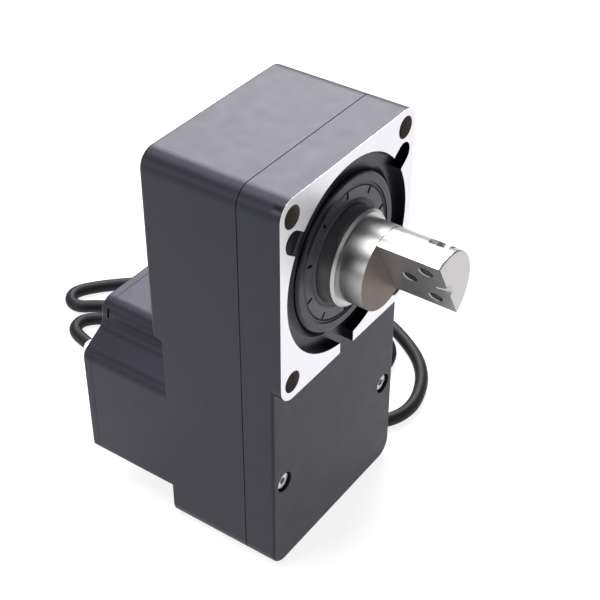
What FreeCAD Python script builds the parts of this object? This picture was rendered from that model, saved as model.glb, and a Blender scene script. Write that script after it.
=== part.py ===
import FreeCAD, Part
import math
import os
import re

import Sketcher
from FreeCAD import Placement, Rotation, Vector

# Offset parallel-shaft gear motor.
#
# Frame, in millimetres: the output shaft's axis is the Y axis and the bare mounting pad lies at y = 0.
# The shaft points to -Y, the gearbox and then the motor lie towards +Y, and +Z is up.
# The motor sits low behind the gearbox, and the cable lies on the surface that the gearbox stands on.
#
# Power flows from the motor pinion through two countershafts to the output gear:
#   motor (12 teeth) -> first countershaft (34, 13) -> second countershaft (35, 13) -> output (34).

doc = FreeCAD.newDocument("OffsetGearMotor")

# ---------------------------------------------------------------------------------------------
# Driving dimensions
# ---------------------------------------------------------------------------------------------

SIZES = {
    # gearbox casting
    "half_width": 44.0,
    "top": 44.5,
    "bottom": -136.0,
    "corner": 7.5,
    "wall": 4.0,
    "loose": 0.2,
    "fit": 0.02,
    "front_face": 4.0,
    "split": 18.5,
    "gasket_thick": 0.4,
    "rear_high": 62.0,
    "rear_low": 57.0,
    "step_top": -37.6,
    "step_foot": -39.8,
    "inner_rear_high": 58.0,
    "inner_rear_low": 52.0,
    "inner_step": -41.0,
    "edge_round": 1.6,
    "edge_front": 1.2,
    "cover_round": 0.8,
    # mounting pad and its recess
    "pad_bottom": -44.7,
    "bolt_half": 36.77,
    "bolt_hole": 4.6,
    "pillar": 7.2,
    "recess": 40.0,
    "recess_floor": 4.0,
    "rim": 32.5,
    "rim_face": 1.0,
    "seal_bore": 28.2,
    "ear_half": 4.6,
    "ear_reach": 44.4,
    # screws in the lower front
    "front_screw_x": 36.5,
    "front_screw_z": -91.5,
    "front_screw_bore": 4.5,
    "front_screw_seat": 9.2,
    "screw_r": 2.0,
    "screw_head": 3.5,
    "screw_head_tall": 4.0,
    "socket_across": 3.0,
    "socket_deep": 2.2,
    "front_screw_long": 20.0,
    "tapped_end": 32.0,
    # bosses and dowels that join the halves
    "post": 7.0,
    "dowel": 2.0,
    "dowel_boss": 5.5,
    "dowel_start": 13.0,
    "dowel_end": 24.0,
    # output shaft
    "journal": 19.4,
    "nose": 16.7,
    "tongue": 16.5,
    "shoulder_face": -5.4,
    "half_cut_face": -16.2,
    "shaft_end": -42.35,
    "flat_offset": 0.58,
    "flat_turn": 29.1,
    "cross_hole": 2.75,
    "cross_rim": 0.25,
    "cross_sink": 4.75,
    "sink_land": 3.2,
    "hole_near": -26.3,
    "hole_far": -35.0,
    "hole_side": 9.5,
    "collar": 23.0,
    "gear_seat": 19.0,
    "rear_seat": 12.5,
    "shaft_waist": 15.6,
    "gear_seat_end": 41.4,
    "shaft_tail": 57.6,
    # output bearings
    "front_bearing": 9.5,
    "front_bearing_out": 31.0,
    "front_bearing_in": 20.0,
    "big_bearing_wide": 12.0,
    "rear_bearing": 45.8,
    "rear_bearing_out": 23.5,
    "bearing_ring_start": 21.6,
    "bearing_ring_end": 23.0,
    # countershaft and motor bearings
    "small_out": 11.0,
    "small_in": 4.0,
    "small_wide": 7.0,
    "narrow_out": 8.0,
    "narrow_wide": 5.0,
    "first_out": 6.5,
    "first_in": 3.0,
    "first_wide": 5.0,
    "second_front": 12.4,
    "second_rear": 48.0,
    "first_front": 30.5,
    "first_rear": 52.0,
    "rotor_front": 54.0,
    "rotor_rear": 91.0,
    # gear train
    "output_mod": 2.0,
    "middle_mod": 1.25,
    "motor_mod": 1.0,
    "output_teeth": 34,
    "middle_teeth": 35,
    "first_teeth": 34,
    "pinion_teeth": 13,
    "motor_teeth": 12,
    "output_gear_start": 24.8,
    "output_gear_wide": 13.4,
    "gear_ring_start": 38.2,
    "gear_ring_end": 40.0,
    "middle_gear_start": 38.8,
    "middle_gear_wide": 6.6,
    "first_gear_start": 46.2,
    "first_gear_wide": 4.8,
    "motor_pinion_start": 45.8,
    "motor_pinion_wide": 5.6,
    "backlash": 0.24,
    "motor_axis": -84.0,
    # motor
    "motor_rear": 97.5,
    "cover_thick": 4.2,
    "motor_bottom": -119.5,
    "motor_foot_round": 3.0,
    "shoulder_round": 6.0,
    "shoulder_z": -69.5,
    "neck_round": 6.0,
    "flank_turn": 60.0,
    "lobe_half": 30.5,
    "lobe_top": -47.3,
    "lobe_round": 6.0,
    "motor_bore": 31.0,
    "motor_front": 58.5,
    "rotor": 15.5,
    "rotor_start": 68.0,
    "rotor_end": 86.0,
    "magnet_thick": 2.6,
    "magnet_arc": 41.0,
    "yoke_thick": 4.0,
    "shoe_in": 16.3,
    "shoe_out": 18.6,
    "tooth_half": 2.4,
    "board_start": 90.1,
    "board_thick": 1.2,
    "rotor_shaft_end": 97.6,
    "cover_screw_x": 37.0,
    "cover_screw_high": -69.5,
    "cover_screw_low": -111.5,
    "cover_screw_long": 12.0,
    "cover_screw_sunk": 0.8,
    "cover_tapped": 12.0,
    # cable
    "cable": 3.2,
    "gland_x": 24.0,
    "gland_z": -106.0,
    "gland": 5.0,
    "gland_nut": 6.6,
    "gland_across": 14.0,
    "gland_tall": 5.0,
    "relief_end": 127.0,
    "relief": 4.6,
    "plug_long": 24.0,
    "plug_wide": 14.0,
    "plug_tall": 8.0,
    "plug_boot": 9.0,
}

sheet = doc.addObject("Spreadsheet::Sheet", "Sizes")
for row, (alias, number) in enumerate(SIZES.items(), start=1):
    sheet.set(f"A{row}", alias.replace("_", " "))
    sheet.set(f"B{row}", str(number))
    sheet.setAlias(f"B{row}", alias)
doc.recompute()


def size(alias):
    """A driving dimension, read from the sheet."""
    return float(sheet.get(alias))


def bind(thing, prop, rule):
    """Bind a property to a rule written with the sheet's aliases."""
    linked = re.sub(r"[a-z][a-z_]*", lambda m: "Sizes." + m[0] if m[0] in SIZES else m[0], str(rule))
    thing.setExpression(prop, linked)


def place(thing, x="0", y="0", z="0"):
    for axis, rule in zip("xyz", (x, y, z)):
        bind(thing, f"Placement.Base.{axis}", rule)


ALONG_Y = Rotation(Vector(1, 0, 0), -90)
CENTRE = ("0", "0")

# Axes of the countershafts and the motor in the XZ plane. The first countershaft closes the triangle
# between the motor pinion and the second countershaft.
second_z = -size("output_mod") * (size("output_teeth") + size("pinion_teeth")) / 2
reach_middle = size("middle_mod") * (size("middle_teeth") + size("pinion_teeth")) / 2
reach_motor = size("motor_mod") * (size("first_teeth") + size("motor_teeth")) / 2
span = second_z - size("motor_axis")
drop = (reach_middle**2 - reach_motor**2 + span**2) / (2 * span)
first_x = math.sqrt(reach_middle**2 - drop**2)
first_z = second_z - drop

SECOND = ("0", str(second_z))
FIRST = (str(first_x), str(first_z))
MOTOR = ("0", "motor_axis")
GLAND = ("gland_x", "gland_z")

# ---------------------------------------------------------------------------------------------
# Building blocks
# ---------------------------------------------------------------------------------------------

nodes = []


def node(name, thing):
    """Give a finished sub-part its own name, which is also its file's name."""
    thing.Label = name
    nodes.append(thing)
    return thing


def rod(radius, start, end, at=CENTRE):
    """A cylinder along +Y, from start to end."""
    cylinder = doc.addObject("Part::Cylinder", "Rod")
    cylinder.Placement = Placement(Vector(), ALONG_Y)
    bind(cylinder, "Radius", radius)
    bind(cylinder, "Height", f"({end}) - ({start})")
    place(cylinder, at[0], start, at[1])
    return cylinder


def taper(front, back, start, end, at=CENTRE):
    """A cone along +Y, with one radius at its start and another at its end."""
    cone = doc.addObject("Part::Cone", "Taper")
    cone.Placement = Placement(Vector(), ALONG_Y)
    bind(cone, "Radius1", front)
    bind(cone, "Radius2", back)
    bind(cone, "Height", f"({end}) - ({start})")
    place(cone, at[0], start, at[1])
    return cone


def block(x_low, x_high, y_low, y_high, z_low, z_high):
    box = doc.addObject("Part::Box", "Block")
    bind(box, "Length", f"({x_high}) - ({x_low})")
    bind(box, "Width", f"({y_high}) - ({y_low})")
    bind(box, "Height", f"({z_high}) - ({z_low})")
    place(box, x_low, y_low, z_low)
    return box


def fuse(*things):
    joined = doc.addObject("Part::MultiFuse", "Fuse")
    joined.Shapes = list(things)
    return joined


def cut(base, *tools):
    result = doc.addObject("Part::Cut", "Cut")
    result.Base = base
    result.Tool = tools[0] if len(tools) == 1 else fuse(*tools)
    return result


def tube(outer, inner, start, end, at=CENTRE):
    return cut(rod(outer, start, end, at), rod(inner, start, end, at))


def feature(shape, name="Shape"):
    """A piece whose shape is computed here from the sheet's sizes."""
    thing = doc.addObject("Part::Feature", name)
    thing.Shape = shape
    return thing


def group(*things):
    """Separate identical solids that share one node."""
    bundle = doc.addObject("Part::Compound", "Group")
    bundle.Links = list(things)
    return bundle


def path(points):
    """A closed wire. A point is (a, b), or (a, b, a2, b2) for an arc through the first to the second."""
    edges = []
    here = points[0][-2:]
    for step in points[1:] + [points[0][-2:]]:
        there = step[-2:]
        ends = Vector(here[0], 0, here[1]), Vector(there[0], 0, there[1])
        if len(step) == 4:
            edges.append(Part.Arc(ends[0], Vector(step[0], 0, step[1]), ends[1]).toShape())
        elif ends[0].distanceToPoint(ends[1]) > 1e-6:
            edges.append(Part.LineSegment(*ends).toShape())
        here = there
    return Part.Wire(edges)


def slab(points, start, end):
    """The outline (x, z) extruded along +Y, its thickness bound to the sheet."""
    outline = feature(Part.Face(path(points)), "Outline")
    place(outline, "0", start, "0")
    solid = doc.addObject("Part::Extrusion", "Slab")
    solid.Base = outline
    solid.DirMode = "Custom"
    solid.Dir = Vector(0, 1, 0)
    solid.Solid = True
    bind(solid, "LengthFwd", f"({end}) - ({start})")
    return solid


def lathe(points, at=CENTRE):
    """The half section (radius, y) turned about the line through at, along Y."""
    flat = Part.Face(path(points))
    flat.rotate(Vector(), Vector(1, 0, 0), -90)
    section = feature(flat, "Section")
    turned = doc.addObject("Part::Revolution", "Turned")
    turned.Source = section
    turned.Axis = Vector(0, 1, 0)
    turned.Angle = 360
    turned.Solid = True
    place(turned, at[0], "0", at[1])
    return turned


def plate(name, half, low, high, start, end, corner):
    """A rounded rectangular plate that faces -Y, as a body with one sketch, a pad and a fillet."""
    body = doc.addObject("PartDesign::Body", name)
    plane = [datum for datum in body.Origin.OriginFeatures if datum.Role == "XZ_Plane"][0]
    sketch = body.newObject("Sketcher::SketchObject", name + "_outline")
    sketch.AttachmentSupport = [(plane, "")]
    sketch.MapMode = "FlatFace"
    bind(sketch, "AttachmentOffset.Base.z", f"-({start})")
    corners = [Vector(-10, -10, 0), Vector(10, -10, 0), Vector(10, 10, 0), Vector(-10, 10, 0)]
    for side in range(4):
        sketch.addGeometry(Part.LineSegment(corners[side], corners[(side + 1) % 4]), False)
    for side in range(4):
        sketch.addConstraint(Sketcher.Constraint("Coincident", side, 2, (side + 1) % 4, 1))
        sketch.addConstraint(Sketcher.Constraint("Vertical" if side % 2 else "Horizontal", side))
    origin = (-1, 1)
    for label, kind, point, rule in (
        ("right", "DistanceX", (1, 1), half),
        ("left", "DistanceX", (3, 1), f"-({half})"),
        ("foot", "DistanceY", (0, 1), low),
        ("head", "DistanceY", (2, 1), high),
    ):
        index = sketch.addConstraint(Sketcher.Constraint(kind, *origin, *point, 10.0))
        sketch.renameConstraint(index, label)
        bind(sketch, f"Constraints.{label}", rule)
    pad = body.newObject("PartDesign::Pad", name + "_pad")
    pad.Profile = sketch
    pad.Reversed = True
    bind(pad, "Length", f"({end}) - ({start})")
    doc.recompute()
    rounds = body.newObject("PartDesign::Fillet", name + "_corners")
    rounds.Base = (pad, [f"Edge{i}" for i, e in enumerate(pad.Shape.Edges, start=1) if along_y(e)])
    bind(rounds, "Radius", corner)
    doc.recompute()
    return body


def along_y(edge):
    ends = [vertex.Point for vertex in edge.Vertexes]
    return len(ends) == 2 and abs(abs(ends[0].y - ends[1].y) - edge.Length) < 1e-6


def soften(thing, radius, chosen):
    """Round the edges of a finished solid that chosen(edge) picks."""
    doc.recompute()
    rounded = doc.addObject("Part::Fillet", "Rounded")
    rounded.Base = thing
    picked = [i for i, edge in enumerate(thing.Shape.Edges, start=1) if chosen(edge)]
    rounded.Edges = [(i, size(radius), size(radius)) for i in picked]
    return rounded


def rods(radius, start, end, places):
    """The same cylinder at each (x, z) place."""
    return [rod(radius, start, end, at) for at in places]


def mirrored(near, far, start, end, low, high):
    """Two boxes, one on each side of x = 0, that reach from |x| = near to |x| = far."""
    return [
        block(f"-({far})", f"-({near})", start, end, low, high),
        block(near, far, start, end, low, high),
    ]


def within_outline(inset, start, end, things):
    """The portions of things that lie inside the gearbox's outline."""
    sides = f"half_width - {inset}", f"bottom + {inset}", f"top - {inset}"
    limit = plate("limit", *sides, start, end, "corner")
    common = doc.addObject("Part::MultiCommon", "Inside")
    common.Shapes = [fuse(*things), limit]
    return common


# ---------------------------------------------------------------------------------------------
# Housing halves
# ---------------------------------------------------------------------------------------------

BOLTS = [(f"{sx} * bolt_half", f"{sz} * bolt_half") for sx in (-1, 1) for sz in (-1, 1)]
FRONT_SCREWS = [(f"{sx} * front_screw_x", "front_screw_z") for sx in (-1, 1)]
DOWELS = [("-1 * (half_width - 9)", "-61"), ("half_width - 9", "24")]
COVER_SCREWS = [
    (f"{sx} * cover_screw_x", z) for sx in (-1, 1) for z in ("cover_screw_high", "cover_screw_low")
]
GASKET_FRONT = "split - gasket_thick / 2"
GASKET_REAR = "split + gasket_thick / 2"
OUTER_FACE = "motor_rear + cover_thick"
BEYOND = "motor_rear + cover_thick + 8"


def motor_outline():
    """The motor enclosure's cross-section: a wide box with round shoulders and a narrower lobe on top."""
    half, foot = size("half_width"), size("motor_bottom")
    r_foot, r_shoulder, r_neck, r_lobe = (
        size(alias) for alias in ("motor_foot_round", "shoulder_round", "neck_round", "lobe_round")
    )
    lobe, roof = size("lobe_half"), size("lobe_top")
    # the flank between the shoulder's arc and the neck's arc is their common tangent
    turn = math.radians(size("flank_turn"))
    both = r_shoulder + r_neck
    rise = (both - (lobe - half + both) * math.cos(turn)) / math.sin(turn)
    shoulder = (half - r_shoulder, size("shoulder_z"))
    neck = (lobe + r_neck, size("shoulder_z") + rise)

    def around(centre, radius, angle):
        return centre[0] + radius * math.cos(angle), centre[1] + radius * math.sin(angle)

    right = [
        (half - r_foot, foot),
        (*around((half - r_foot, foot + r_foot), r_foot, -math.pi / 4), half, foot + r_foot),
        (half, shoulder[1]),
        (*around(shoulder, r_shoulder, turn / 2), *around(shoulder, r_shoulder, turn)),
        around(neck, r_neck, math.pi + turn),
        (*around(neck, r_neck, math.pi + turn / 2), lobe, neck[1]),
        (lobe, roof - r_lobe),
        (*around((lobe - r_lobe, roof - r_lobe), r_lobe, math.pi / 4), lobe - r_lobe, roof),
    ]
    ends = [step[-2:] for step in right]
    left = []
    for i in range(len(right) - 1, -1, -1):
        middle = right[i + 1][:2] if i + 1 < len(right) and len(right[i + 1]) == 4 else None
        point = (-ends[i][0], ends[i][1])
        left.append((-middle[0], middle[1], *point) if middle else point)
    return right + left


def front_shell():
    front = plate("front_blank", "half_width", "bottom", "top", "front_face", GASKET_FRONT, "corner")
    front = soften(front, "edge_front", lambda e: on_plane(e, size("front_face")))
    pad = plate("pad_blank", "half_width", "pad_bottom", "top", "0", "front_face + 1.5", "corner")
    hollow = plate(
        "front_hollow", "half_width - wall", "bottom + wall", "top - wall",
        "front_face + wall", "split", "corner - wall + 1",
    )
    recess = rod("recess", "-1", "recess_floor")
    ears = [ear(angle) for angle in (35.5, 144.5, -90)]
    ring = lathe([
        (size("seal_bore"), size("recess_floor") + 1),
        (size("seal_bore"), size("rim_face")),
        (size("rim") - 1.6, size("rim_face")),
        (size("rim") - 0.47, size("rim_face") + 0.47, size("rim"), size("rim_face") + 1.6),
        (size("rim") + 0.7, size("recess_floor") - 0.7, size("rim") + 2.2, size("recess_floor")),
        (size("rim") + 2.2, size("recess_floor") + 1),
    ])
    bosses = [
        rod("front_bearing_out + wall", "recess_floor + 0.5", "output_gear_start - 0.6"),
        rod("small_out + wall", "front_face + 1", "second_front + small_wide", SECOND),
        rod("first_out + 3", "front_face + 1", "first_front + first_wide", FIRST),
    ]
    pillars = rods("pillar", "1.5", GASKET_FRONT, BOLTS)
    posts = rods("post", "front_face + 1", GASKET_FRONT, FRONT_SCREWS)
    pins = rods("dowel_boss", "front_face + 1", GASKET_FRONT, DOWELS)
    boss_end = "first_front + first_wide + 1"
    inside = within_outline("0", "0", boss_end, [*bosses, *pillars, *posts, *pins])
    blank = fuse(cut(fuse(front, pad), hollow), inside)
    open_face = fuse(cut(blank, fuse(recess, *ears)), ring)
    holes = [
        rod("seal_bore", "-1", "8.7"),
        rod("seal_bore - 2", "8", "front_bearing + 1"),
        rod("front_bearing_out", "front_bearing", "output_gear_start"),
        tube("front_bearing_out + 1.5", "front_bearing_out - 1", "bearing_ring_start", "bearing_ring_end"),
        rod("small_out", "second_front", "split + 1", SECOND),
        rod("first_out", "first_front", "first_front + first_wide + 1", FIRST),
        *rods("bolt_hole", "-1", "split + 1", BOLTS),
        *rods("front_screw_bore", "0", "front_screw_seat", FRONT_SCREWS),
        *rods("screw_r + loose", "0", "split + 1", FRONT_SCREWS),
        *rods("dowel + fit", "dowel_start - 0.5", "split + 1", DOWELS),
    ]
    return node("front_shell", cut(open_face, fuse(*holes)))


def on_plane(edge, y):
    return all(abs(vertex.Y - y) < 1e-6 for vertex in edge.Vertexes)


def ear(angle):
    """A round-ended pocket that runs out of the recess in the given direction."""
    turn = math.radians(angle)
    half, reach, floor = size("ear_half"), size("ear_reach"), size("recess_floor")
    inner = size("recess") - 8
    slot = Part.makeBox(reach - inner, floor + 1, 2 * half, Vector(inner, -1, -half))
    end = Part.makeCylinder(half, floor + 1, Vector(reach, -1, 0), Vector(0, 1, 0))
    pocket = slot.fuse(end)
    pocket.rotate(Vector(), Vector(0, 1, 0), -math.degrees(turn))
    return feature(pocket, "Ear")


def rear_housing():
    box = plate("rear_blank", "half_width", "bottom", "top", GASKET_REAR, "rear_high", "corner")
    low, high = size("rear_low"), size("rear_high")
    foot, head = size("step_foot"), size("step_top")
    wedge = Part.Face(Part.makePolygon([
        Vector(-60, low, -150), Vector(-60, low, foot), Vector(-60, high, head),
        Vector(-60, high + 5, head), Vector(-60, high + 5, -150), Vector(-60, low, -150),
    ])).extrude(Vector(120, 0, 0))
    stepped = cut(box, feature(wedge, "Step"))
    stepped = soften(stepped, "edge_round", lambda e: on_plane(e, high) and e.BoundBox.ZMax > head + 1)
    motor = slab(motor_outline(), "rear_low - 2", "motor_rear")
    hollow_high = plate(
        "hollow_high", "half_width - wall", "inner_step", "top - wall",
        "split", "inner_rear_high", "corner - wall + 1",
    )
    hollow_low = plate(
        "hollow_low", "half_width - wall", "bottom + wall", "inner_step + 8",
        "split", "inner_rear_low", "corner - wall + 1",
    )
    bosses = [
        tube("rear_bearing_out + wall", "rear_bearing_out", "rear_bearing", "inner_rear_high + 0.5"),
        tube("narrow_out + 2.5", "narrow_out", "second_rear", "inner_rear_low + 0.5", SECOND),
    ]
    pillars = rods("pillar", GASKET_REAR, "rear_low - 0.5", BOLTS)
    posts = rods("post", GASKET_REAR, "rear_low - 0.5", FRONT_SCREWS)
    pins = rods("dowel_boss", GASKET_REAR, "rear_low - 0.5", DOWELS)
    inside = within_outline("0", GASKET_REAR, "rear_low", [*pillars, *posts, *pins])
    shell = fuse(cut(fuse(stepped, motor), fuse(hollow_high, hollow_low)), inside, *bosses)
    chamber = [
        rod("motor_bore", "motor_front", "motor_rear + 1", MOTOR),
        *mirrored("33.5", "half_width - wall", "motor_front + 5", "motor_rear - 5", "-104", "-76"),
        *lead_space("motor_rear - 12", "motor_rear + 1"),
    ]
    nest = tube("small_out + 3", "small_out", "rotor_front", "rotor_front + small_wide + 0.2", MOTOR)
    bodied = fuse(cut(shell, fuse(*chamber)), nest)
    holes = [
        rod("8.5", "inner_rear_low - 1", "rotor_front + 1", MOTOR),
        rod("small_out", "rotor_front", "rotor_front + small_wide + 1", MOTOR),
        rod("narrow_out", "second_rear", "second_rear + narrow_wide + 0.2", SECOND),
        rod("first_out", "inner_rear_low - 1", "first_rear + first_wide", FIRST),
        *rods("bolt_hole", "split", "rear_high + 1", BOLTS),
        *rods("screw_r + fit", "split", "tapped_end", FRONT_SCREWS),
        *rods("dowel + fit", "split", "dowel_end + 0.5", DOWELS),
        *rods("screw_r + fit", "motor_rear - cover_tapped", "motor_rear + 1", COVER_SCREWS),
        rod("gland_nut + 0.5", "motor_rear - 12", "motor_rear + 1", GLAND),
    ]
    return node("rear_housing", cut(bodied, fuse(*holes)))


def lead_space(start, end):
    """Pockets beside the motor where its leads run to the gland."""
    return mirrored("motor_bore - 2", "motor_bore + 6", start, end, "motor_axis - 14", "motor_axis + 2")


def seam_slots(start, end):
    """Drain slots in both sides of the lobe, at the rear cover's seam."""
    return mirrored("lobe_half - 1.2", "lobe_half + 1", start, end, "lobe_top - 7.7", "lobe_top - 3.2")


def housing_gasket():
    layer = plate("gasket_blank", "half_width - 0.3", "bottom + 0.3", "top - 0.3",
                  GASKET_FRONT, GASKET_REAR, "corner")
    opening = plate("gasket_hole", "half_width - wall", "bottom + wall", "top - wall",
                    "split - 1", "split + 1", "corner - wall + 1")
    eyes = [
        *rods("pillar", GASKET_FRONT, GASKET_REAR, BOLTS),
        *rods("post", GASKET_FRONT, GASKET_REAR, FRONT_SCREWS),
        *rods("dowel_boss", GASKET_FRONT, GASKET_REAR, DOWELS),
    ]
    holes = [
        *rods("bolt_hole", "split - 1", "split + 1", BOLTS),
        *rods("screw_r + loose", "split - 1", "split + 1", FRONT_SCREWS),
        *rods("dowel + fit", "split - 1", "split + 1", DOWELS),
    ]
    trimmed = within_outline("0.3", GASKET_FRONT, GASKET_REAR, eyes)
    return node("housing_gasket", cut(fuse(cut(layer, opening), trimmed), fuse(*holes)))


def rear_cover():
    flat = slab(motor_outline(), "motor_rear + gasket_thick", OUTER_FACE)
    flat = soften(flat, "cover_round", lambda e: on_plane(e, value_of(OUTER_FACE)))
    nest = rod("small_out + 3", "rotor_rear + 0.4", "motor_rear + 2", MOTOR)
    holes = [
        rod("small_out", "rotor_rear - 1", "motor_rear + 0.6", MOTOR),
        *rods("screw_r + loose", "motor_rear", BEYOND, COVER_SCREWS),
        *rods("screw_head + 0.3", f"{OUTER_FACE} - cover_screw_sunk", BEYOND, COVER_SCREWS),
        rod("gland + fit", "motor_rear", BEYOND, GLAND),
        *seam_slots("motor_rear", "motor_rear + 1"),
    ]
    return node("motor_rear_cover", cut(fuse(flat, nest), fuse(*holes)))


def cover_gasket():
    flat = slab(motor_outline(), "motor_rear", "motor_rear + gasket_thick")
    before = "motor_rear - 1"
    holes = [
        rod("motor_bore", before, BEYOND, MOTOR),
        *rods("screw_r + loose", before, BEYOND, COVER_SCREWS),
        *lead_space(before, BEYOND),
        rod("gland_nut + 0.5", before, BEYOND, GLAND),
        *seam_slots(before, BEYOND),
    ]
    return node("cover_gasket", cut(flat, fuse(*holes)))


# ---------------------------------------------------------------------------------------------
# Fasteners
# ---------------------------------------------------------------------------------------------

def hexagon(across, start, end, at):
    """A hexagonal prism along Y, for a socket."""
    radius = across / math.sqrt(3)
    x, z = (value_of(rule) for rule in at)
    around = [math.radians(60 * k) for k in range(7)]
    corners = [Vector(x + radius * math.cos(a), start, z + radius * math.sin(a)) for a in around]
    return feature(Part.Face(Part.makePolygon(corners)).extrude(Vector(0, end - start, 0)), "Hexagon")


def value_of(rule):
    """The value of a short rule of aliases and numbers, taken from the sheet."""
    probe = doc.addObject("Part::Vertex", "Probe")
    bind(probe, "X", rule)
    doc.recompute()
    value = probe.X.Value
    doc.removeObject(probe.Name)
    return value


def cap_screw(at, seat, facing, length):
    """A socket-head cap screw: its head stands on seat, facing -Y or +Y, and its shank goes the other way."""
    tall, deep, across = size("screw_head_tall"), size("socket_deep"), size("socket_across")
    if facing < 0:
        head = rod("screw_head", f"{seat} - screw_head_tall", f"{seat}", at)
        shank = rod("screw_r", f"{seat} - 0.5", f"{seat} + {length}", at)
        socket = hexagon(across, seat - tall - 1, seat - tall + deep, at)
    else:
        head = rod("screw_head", f"{seat}", f"{seat} + screw_head_tall", at)
        shank = rod("screw_r", f"{seat} - {length}", f"{seat} + 0.5", at)
        socket = hexagon(across, seat + tall - deep, seat + tall + 1, at)
    return cut(fuse(head, shank), socket)


def fasteners():
    seat = size("front_screw_seat")
    node("front_screws", group(*[cap_screw(at, seat, -1, size("front_screw_long")) for at in FRONT_SCREWS]))
    seat = value_of(OUTER_FACE) - size("cover_screw_sunk")
    node("cover_screws", group(*[cap_screw(at, seat, 1, size("cover_screw_long")) for at in COVER_SCREWS]))
    node("dowel_pins", group(*rods("dowel", "dowel_start", "dowel_end", DOWELS)))


# ---------------------------------------------------------------------------------------------
# Bearings and seal
# ---------------------------------------------------------------------------------------------

def bearing(name, at, start, bore, outer, wide, balls):
    """A deep-groove ball bearing as three nodes: outer ring, inner ring and the set of balls."""
    x, z = (value_of(rule) for rule in at)
    middle, pitch = start + wide / 2, (bore + outer) / 2
    ball, slack, gap = 0.28 * (outer - bore), 0.08, 0.02
    land = 0.5 * ball
    groove = Part.makeTorus(pitch, ball + slack, Vector(x, middle, z), Vector(0, 1, 0))
    torus = feature(groove, "Groove")
    at = (str(x), str(z))
    outer_ring = tube(outer - gap, pitch + land, start, start + wide, at)
    inner_ring = tube(pitch - land, bore + gap, start, start + wide, at)
    node(name + "_outer", cut(outer_ring, torus))
    node(name + "_inner", cut(inner_ring, torus))
    spheres = []
    for k in range(balls):
        turn = 2 * math.pi * (k + 0.5) / balls
        sphere = doc.addObject("Part::Sphere", "Ball")
        bind(sphere, "Radius", ball)
        place(sphere, x + pitch * math.cos(turn), middle, z + pitch * math.sin(turn))
        spheres.append(sphere)
    node(name + "_balls", group(*spheres))


def oil_seal():
    """A rubber shaft seal with face grooves, radial slots and a lip that just clears the shaft."""
    lip = size("journal") + 0.05
    rim = size("seal_bore") - 0.03
    ring = lathe([
        (lip + 1.6, 7.4), (lip, 6.6), (lip, 5.6), (lip + 0.9, 4.6), (lip + 0.9, 2.6), (lip + 0.1, 2.0),
        (lip + 0.1, 1.7), (lip + 1.0, 1.2), (lip + 1.8, 1.9), (lip + 2.6, 1.4), (rim - 1.7, 1.4),
        (rim - 1.3, 1.9), (rim - 0.9, 1.2), (rim, 1.5), (rim, 8.6), (rim - 1.5, 8.6), (rim - 1.5, 3.2),
        (lip + 3.2, 3.2), (lip + 3.2, 7.4),
    ])
    slots = []
    for k in range(10):
        slot = Part.makeBox(2.9, 1.7, 1.3, Vector(23.6, 0.8, -0.65))
        slot.rotate(Vector(), Vector(0, 1, 0), 36 * k + 18)
        slots.append(feature(slot, "Slot"))
    node("output_oil_seal", cut(ring, fuse(*slots)))


def snap_ring(name, start, end, inner, outer, half_gap):
    """A retaining ring with a gap at the bottom."""
    ring = tube(outer, inner, start, end)
    gap = block(f"-{half_gap}", half_gap, f"{start} - 1", f"{end} + 1", f"-{outer} - 1", "0")
    return node(name, cut(ring, gap))


# ---------------------------------------------------------------------------------------------
# Gears
# ---------------------------------------------------------------------------------------------

def involute_wheel(module, teeth, addendum, start, wide, at, phase):
    """A spur gear with straight-faced involute flanks. A tooth points in the direction phase, in degrees."""
    pitch = module * teeth / 2
    base, tip, root = pitch * math.cos(math.radians(20)), pitch + addendum * module, pitch - 1.25 * module
    lowest = max(base, root)
    half_tooth = math.pi / (2 * teeth) - size("backlash") / (4 * pitch)

    def spread(angle):
        return math.tan(angle) - angle

    flank = []
    for k in range(5):
        radius = lowest + (tip - lowest) * k / 4
        flank.append((radius, half_tooth + spread(math.radians(20)) - spread(math.acos(base / radius))))
    if root < lowest:
        flank.insert(0, (root, flank[0][1]))
    outline = []
    for tooth in range(teeth):
        middle = math.radians(phase) + 2 * math.pi * tooth / teeth
        outline += [(radius, middle - turn) for radius, turn in flank]
        outline += [(radius, middle + turn) for radius, turn in reversed(flank)]
    x, z = (value_of(rule) for rule in at)
    points = [Vector(x + r * math.cos(a), start, z + r * math.sin(a)) for r, a in outline]
    wheel = Part.Face(Part.makePolygon(points + points[:1])).extrude(Vector(0, wide, 0))
    return feature(wheel, "Wheel")


def direction(here, there):
    """The angle, in degrees, from one axis to another in the XZ plane."""
    (x0, z0), (x1, z1) = ([value_of(rule) for rule in at] for at in (here, there))
    return math.degrees(math.atan2(z1 - z0, x1 - x0))


def gap_phase(teeth, towards):
    """The phase that turns a gap, not a tooth, towards the mating gear."""
    return towards + 180 / teeth


# ---------------------------------------------------------------------------------------------
# Output shaft
# ---------------------------------------------------------------------------------------------

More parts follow.
